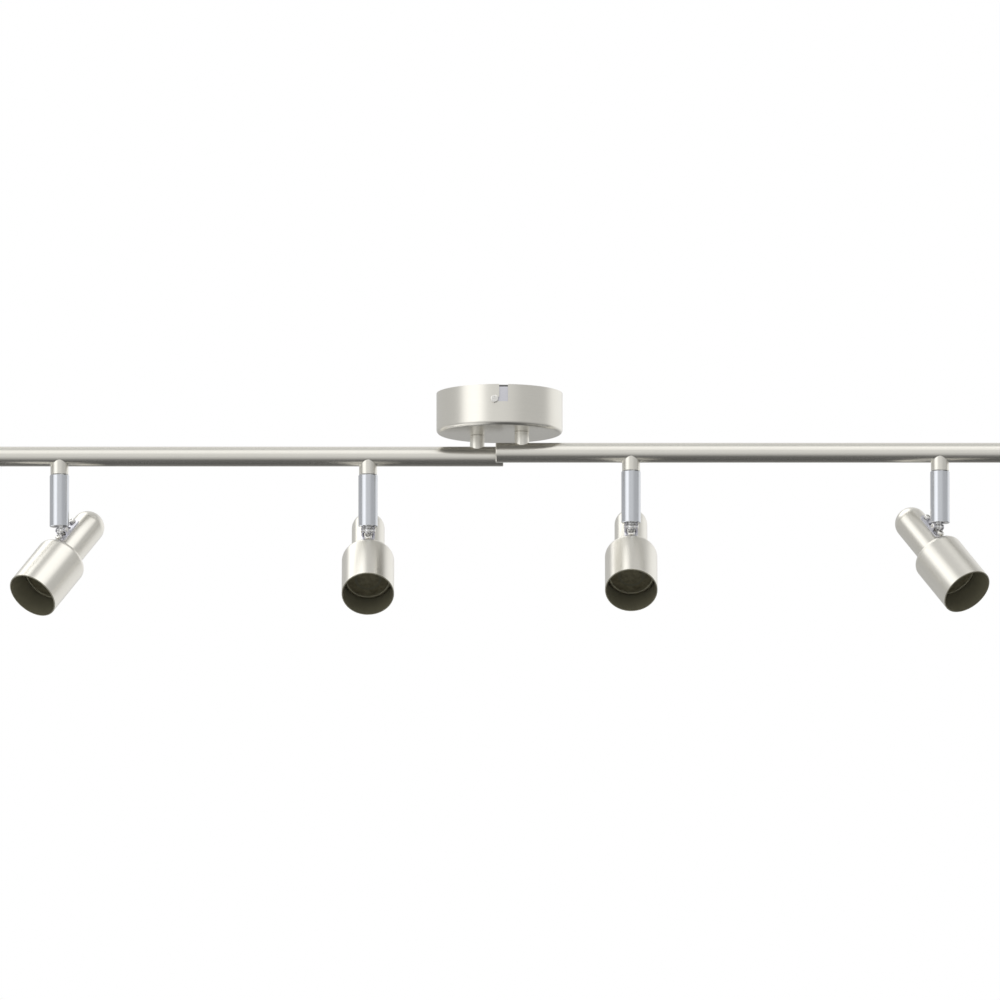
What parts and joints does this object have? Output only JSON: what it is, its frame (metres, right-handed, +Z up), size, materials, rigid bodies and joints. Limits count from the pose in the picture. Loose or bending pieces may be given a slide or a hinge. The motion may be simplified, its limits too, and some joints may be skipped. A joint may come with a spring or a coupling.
{
  "type": "track light fixture",
  "caption": "Ceiling spot light with a round canopy, two staggered swivelling tubes and adjustable cup-shaped lamp heads on short stems.",
  "frame": {"origin": "centre of the canopy's ceiling face", "axes": "+Z up into the ceiling, +X along the right bar, -Y towards the side of the canopy's screw slot that the heads face"},
  "size_m": [1.186, 0.1407, 0.2315],
  "materials": {
    "brushed_nickel": "warm brushed nickel, satin",
    "satin_chrome": "bluish satin chrome",
    "dark_chrome": "cast and chromed",
    "zinc_plate": "bluish zinc plated",
    "bright_screws": "bright nickel plated",
    "green_screw": "green",
    "block_nylon": "natural nylon",
    "lead_sleeve": "white silicone sleeve",
    "brass": "turned",
    "steatite": "unglazed",
    "bulb_body": "clear cover over a dark reflector"
  },
  "bodies": {
    "canopy": {"canopy_cover": "brushed_nickel", "mounting_plate": "zinc_plate", "canopy_side_screws": "bright_screws", "ground_screw": "green_screw", "terminal_block": "block_nylon", "supply_leads": "lead_sleeve"},
    "left_bar": {"left_bar_tube": "brushed_nickel", "left_bar_end_caps": "brushed_nickel", "left_pivot_post": "brushed_nickel", "left_friction_washer": "brushed_nickel", "left_pivot_nut": "zinc_plate", "left_bar_leads": "lead_sleeve", "left_stem_nuts": "brass", "head1_collar": "brushed_nickel", "head2_collar": "brushed_nickel"},
    "right_bar": {"right_bar_tube": "brushed_nickel", "right_bar_end_caps": "brushed_nickel", "right_pivot_post": "brushed_nickel", "right_friction_washer": "brushed_nickel", "right_pivot_nut": "zinc_plate", "right_bar_leads": "lead_sleeve", "right_stem_nuts": "brass", "head3_collar": "brushed_nickel", "head4_collar": "brushed_nickel"},
    "stem1": {"head1_stem": "satin_chrome", "head1_knuckle": "dark_chrome"},
    "head1": {"head1_bracket": "zinc_plate", "head1_pivot_pin": "bright_screws", "head1_bracket_screws": "bright_screws", "head1_housing": "brushed_nickel", "head1_lampholder": "steatite", "head1_bulb": "bulb_body", "head1_leads": "lead_sleeve"},
    "stem2": {"head2_stem": "satin_chrome", "head2_knuckle": "dark_chrome"},
    "head2": {"head2_bracket": "zinc_plate", "head2_pivot_pin": "bright_screws", "head2_bracket_screws": "bright_screws", "head2_housing": "brushed_nickel", "head2_lampholder": "steatite", "head2_bulb": "bulb_body", "head2_leads": "lead_sleeve"},
    "stem3": {"head3_stem": "satin_chrome", "head3_knuckle": "dark_chrome"},
    "head3": {"head3_bracket": "zinc_plate", "head3_pivot_pin": "bright_screws", "head3_bracket_screws": "bright_screws", "head3_housing": "brushed_nickel", "head3_lampholder": "steatite", "head3_bulb": "bulb_body", "head3_leads": "lead_sleeve"},
    "stem4": {"head4_stem": "satin_chrome", "head4_knuckle": "dark_chrome"},
    "head4": {"head4_bracket": "zinc_plate", "head4_pivot_pin": "bright_screws", "head4_bracket_screws": "bright_screws", "head4_housing": "brushed_nickel", "head4_lampholder": "steatite", "head4_bulb": "bulb_body", "head4_leads": "lead_sleeve"}
  },
  "joints": [
    {"name": "left_bar_swivel", "type": "hinge", "parent": "canopy", "child": "left_bar", "pos_m": [-0.023, 0.01275, -0.042], "axis": [0, 0, 1], "range_deg": [0, 90]},
    {"name": "right_bar_swivel", "type": "hinge", "parent": "canopy", "child": "right_bar", "pos_m": [0.023, -0.01275, -0.042], "axis": [0, 0, 1], "range_deg": [0, 90]},
    {"name": "head1_swivel", "type": "hinge", "parent": "left_bar", "child": "stem1", "pos_m": [-0.4537, 0.01275, -0.083], "axis": [0, 0, 1], "range_deg": [-125, 215]},
    {"name": "head1_tilt", "type": "hinge", "parent": "stem1", "child": "head1", "pos_m": [-0.45097, 0.01548, -0.14012], "axis": [-0.7071, 0.7071, 0], "range_deg": [-15, 45]},
    {"name": "head2_swivel", "type": "hinge", "parent": "left_bar", "child": "stem2", "pos_m": [-0.1355, 0.01275, -0.083], "axis": [0, 0, 1], "range_deg": [-170, 170]},
    {"name": "head2_tilt", "type": "hinge", "parent": "stem2", "child": "head2", "pos_m": [-0.1355, 0.01661, -0.14012], "axis": [-1, 0, 0], "range_deg": [-15, 45]},
    {"name": "head3_swivel", "type": "hinge", "parent": "right_bar", "child": "stem3", "pos_m": [0.1355, -0.01275, -0.083], "axis": [0, 0, 1], "range_deg": [-170, 170]},
    {"name": "head3_tilt", "type": "hinge", "parent": "stem3", "child": "head3", "pos_m": [0.1355, -0.00889, -0.14012], "axis": [-1, 0, 0], "range_deg": [-15, 45]},
    {"name": "head4_swivel", "type": "hinge", "parent": "right_bar", "child": "stem4", "pos_m": [0.4537, -0.01275, -0.083], "axis": [0, 0, 1], "range_deg": [-215, 125]},
    {"name": "head4_tilt", "type": "hinge", "parent": "stem4", "child": "head4", "pos_m": [0.45097, -0.01002, -0.14012], "axis": [-0.7071, -0.7071, 0], "range_deg": [-15, 45]}
  ]
}
